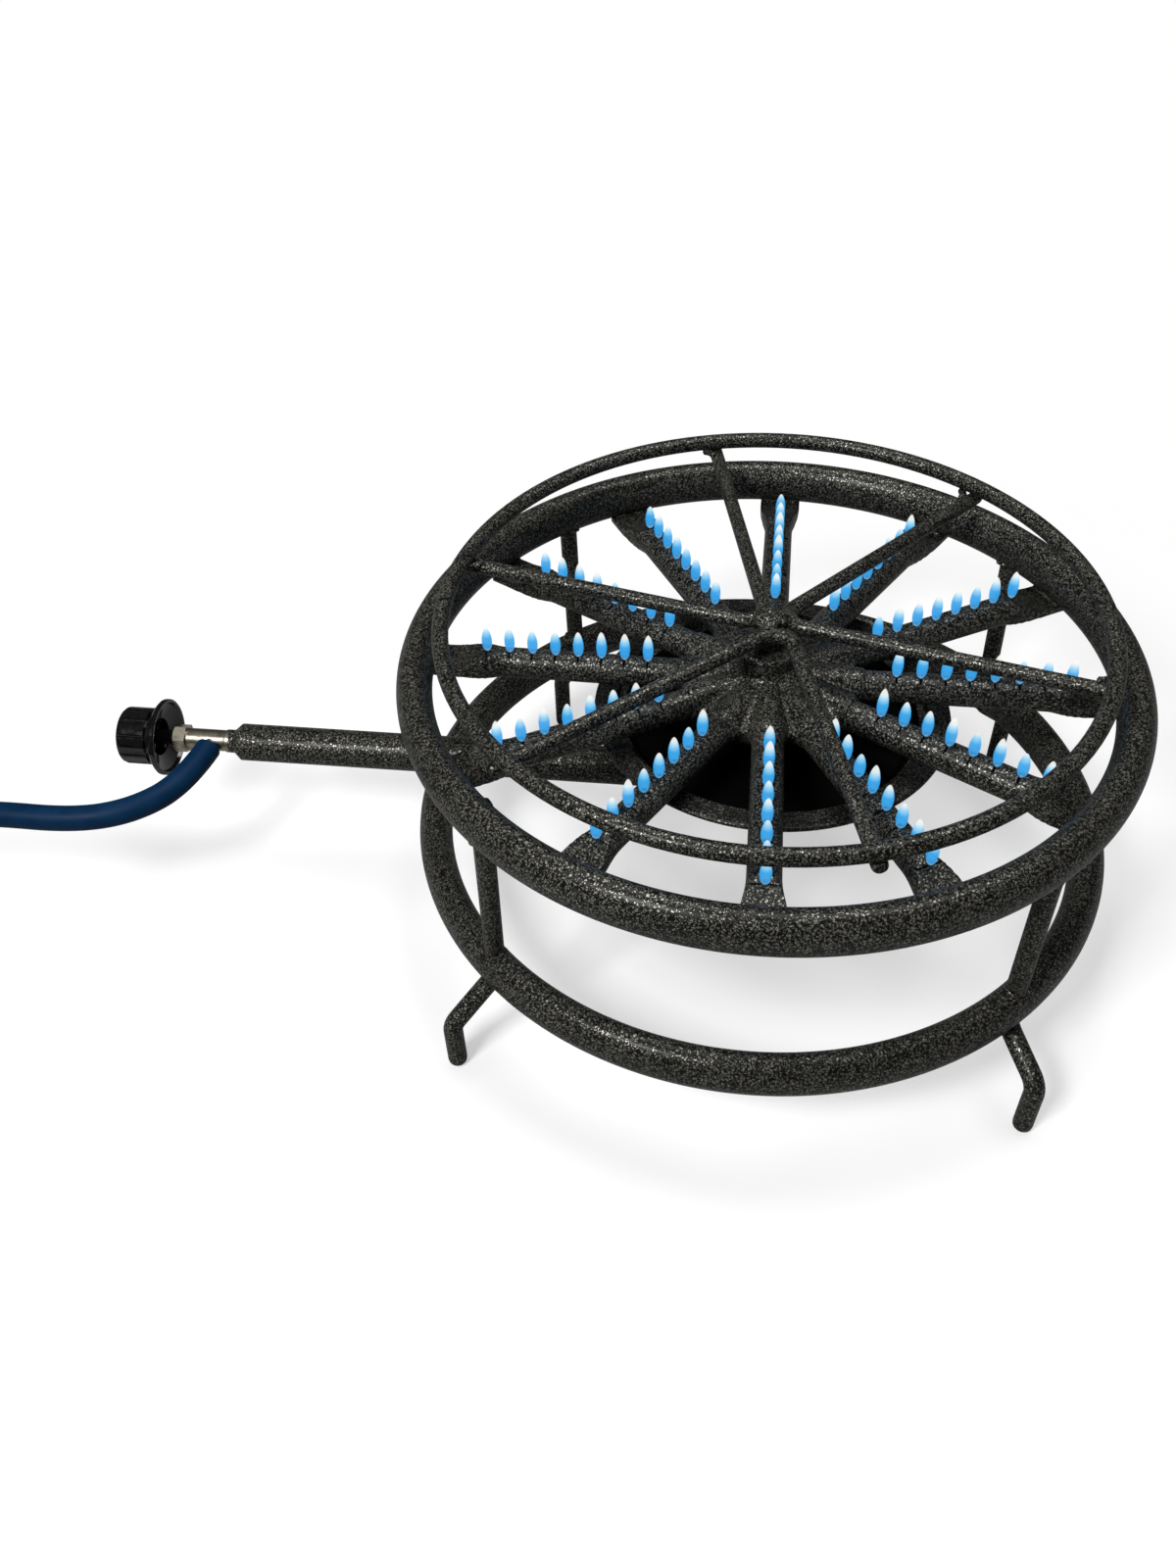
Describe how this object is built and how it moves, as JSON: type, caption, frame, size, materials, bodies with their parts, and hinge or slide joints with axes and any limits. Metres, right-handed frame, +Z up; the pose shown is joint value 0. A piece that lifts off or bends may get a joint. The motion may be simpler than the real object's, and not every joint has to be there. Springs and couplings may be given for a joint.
{
  "type": "propane burner stand",
  "caption": "Round gas burner stand: radial slotted burner arms in a rolled tube ring on bent rod legs, under a loose pot trivet, fed through a mixing tube, needle valve and hose.",
  "frame": {"origin": "on the axis of the rings, at floor level under the centre of the burner", "axes": "+Z up along the rings' axis; the mixing tube and valve run out along -X; the front is -Y"},
  "size_m": [1.1069, 0.45, 0.2431],
  "materials": {
    "powder_coat": "hammertone powder coat, near black with silver-grey speckle",
    "shield_paint": "smooth heat-resistant black paint",
    "bare_steel": "bare machined steel",
    "brass": "dull machined brass",
    "packing": "white sealing ring",
    "knob_plastic": "glossy black moulded plastic",
    "hose_rubber": "satin dark blue rubber",
    "tie_strap": "black hook-and-loop strap"
  },
  "bodies": {
    "stand": {"burner_ring": "powder_coat", "base_ring": "powder_coat", "leg_front_left": "powder_coat", "leg_front_right": "powder_coat", "leg_back_left": "powder_coat", "leg_back_right": "powder_coat", "burner_hub": "powder_coat", "burner_arm_01": "powder_coat", "burner_arm_02": "powder_coat", "burner_arm_03": "powder_coat", "burner_arm_04": "powder_coat", "burner_arm_05": "powder_coat", "burner_arm_06": "powder_coat", "burner_arm_07": "powder_coat", "burner_arm_08": "powder_coat", "burner_arm_09": "powder_coat", "burner_arm_10": "powder_coat", "burner_arm_11": "powder_coat", "burner_arm_12": "powder_coat", "heat_shield": "shield_paint", "shield_lock_nut": "bare_steel", "mixing_tube": "powder_coat", "valve_body": "brass", "gas_jet": "brass", "hose_tail": "brass", "gland_nut": "brass", "gland_packing": "packing", "gas_hose": "hose_rubber", "gas_hose_coil": "hose_rubber", "hose_tie": "tie_strap", "hose_end_nipple": "brass", "hose_end_nut": "brass"},
    "knob": {"control_knob": "knob_plastic", "valve_spindle": "bare_steel"},
    "trivet_pivot": {"trivet_spigot": "powder_coat"},
    "trivet": {"trivet_ring": "powder_coat", "trivet_bar_1": "powder_coat", "trivet_bar_2": "powder_coat", "trivet_bar_3": "powder_coat"}
  },
  "joints": [
    {"name": "knob_turn", "type": "hinge", "parent": "stand", "child": "knob", "pos_m": [-0.405, 0, 0.1006], "axis": [-1, 0, 0], "range_deg": [-360, 360]},
    {"name": "trivet_lift", "type": "slide", "parent": "stand", "child": "trivet_pivot", "axis": [0, -0.0244, 0.9997], "range_m": [0, 0.08]},
    {"name": "trivet_turn", "type": "hinge", "parent": "trivet_pivot", "child": "trivet", "pos_m": [0, 0, 0.198], "axis": [0, -0.0244, 0.9997], "continuous": true}
  ]
}
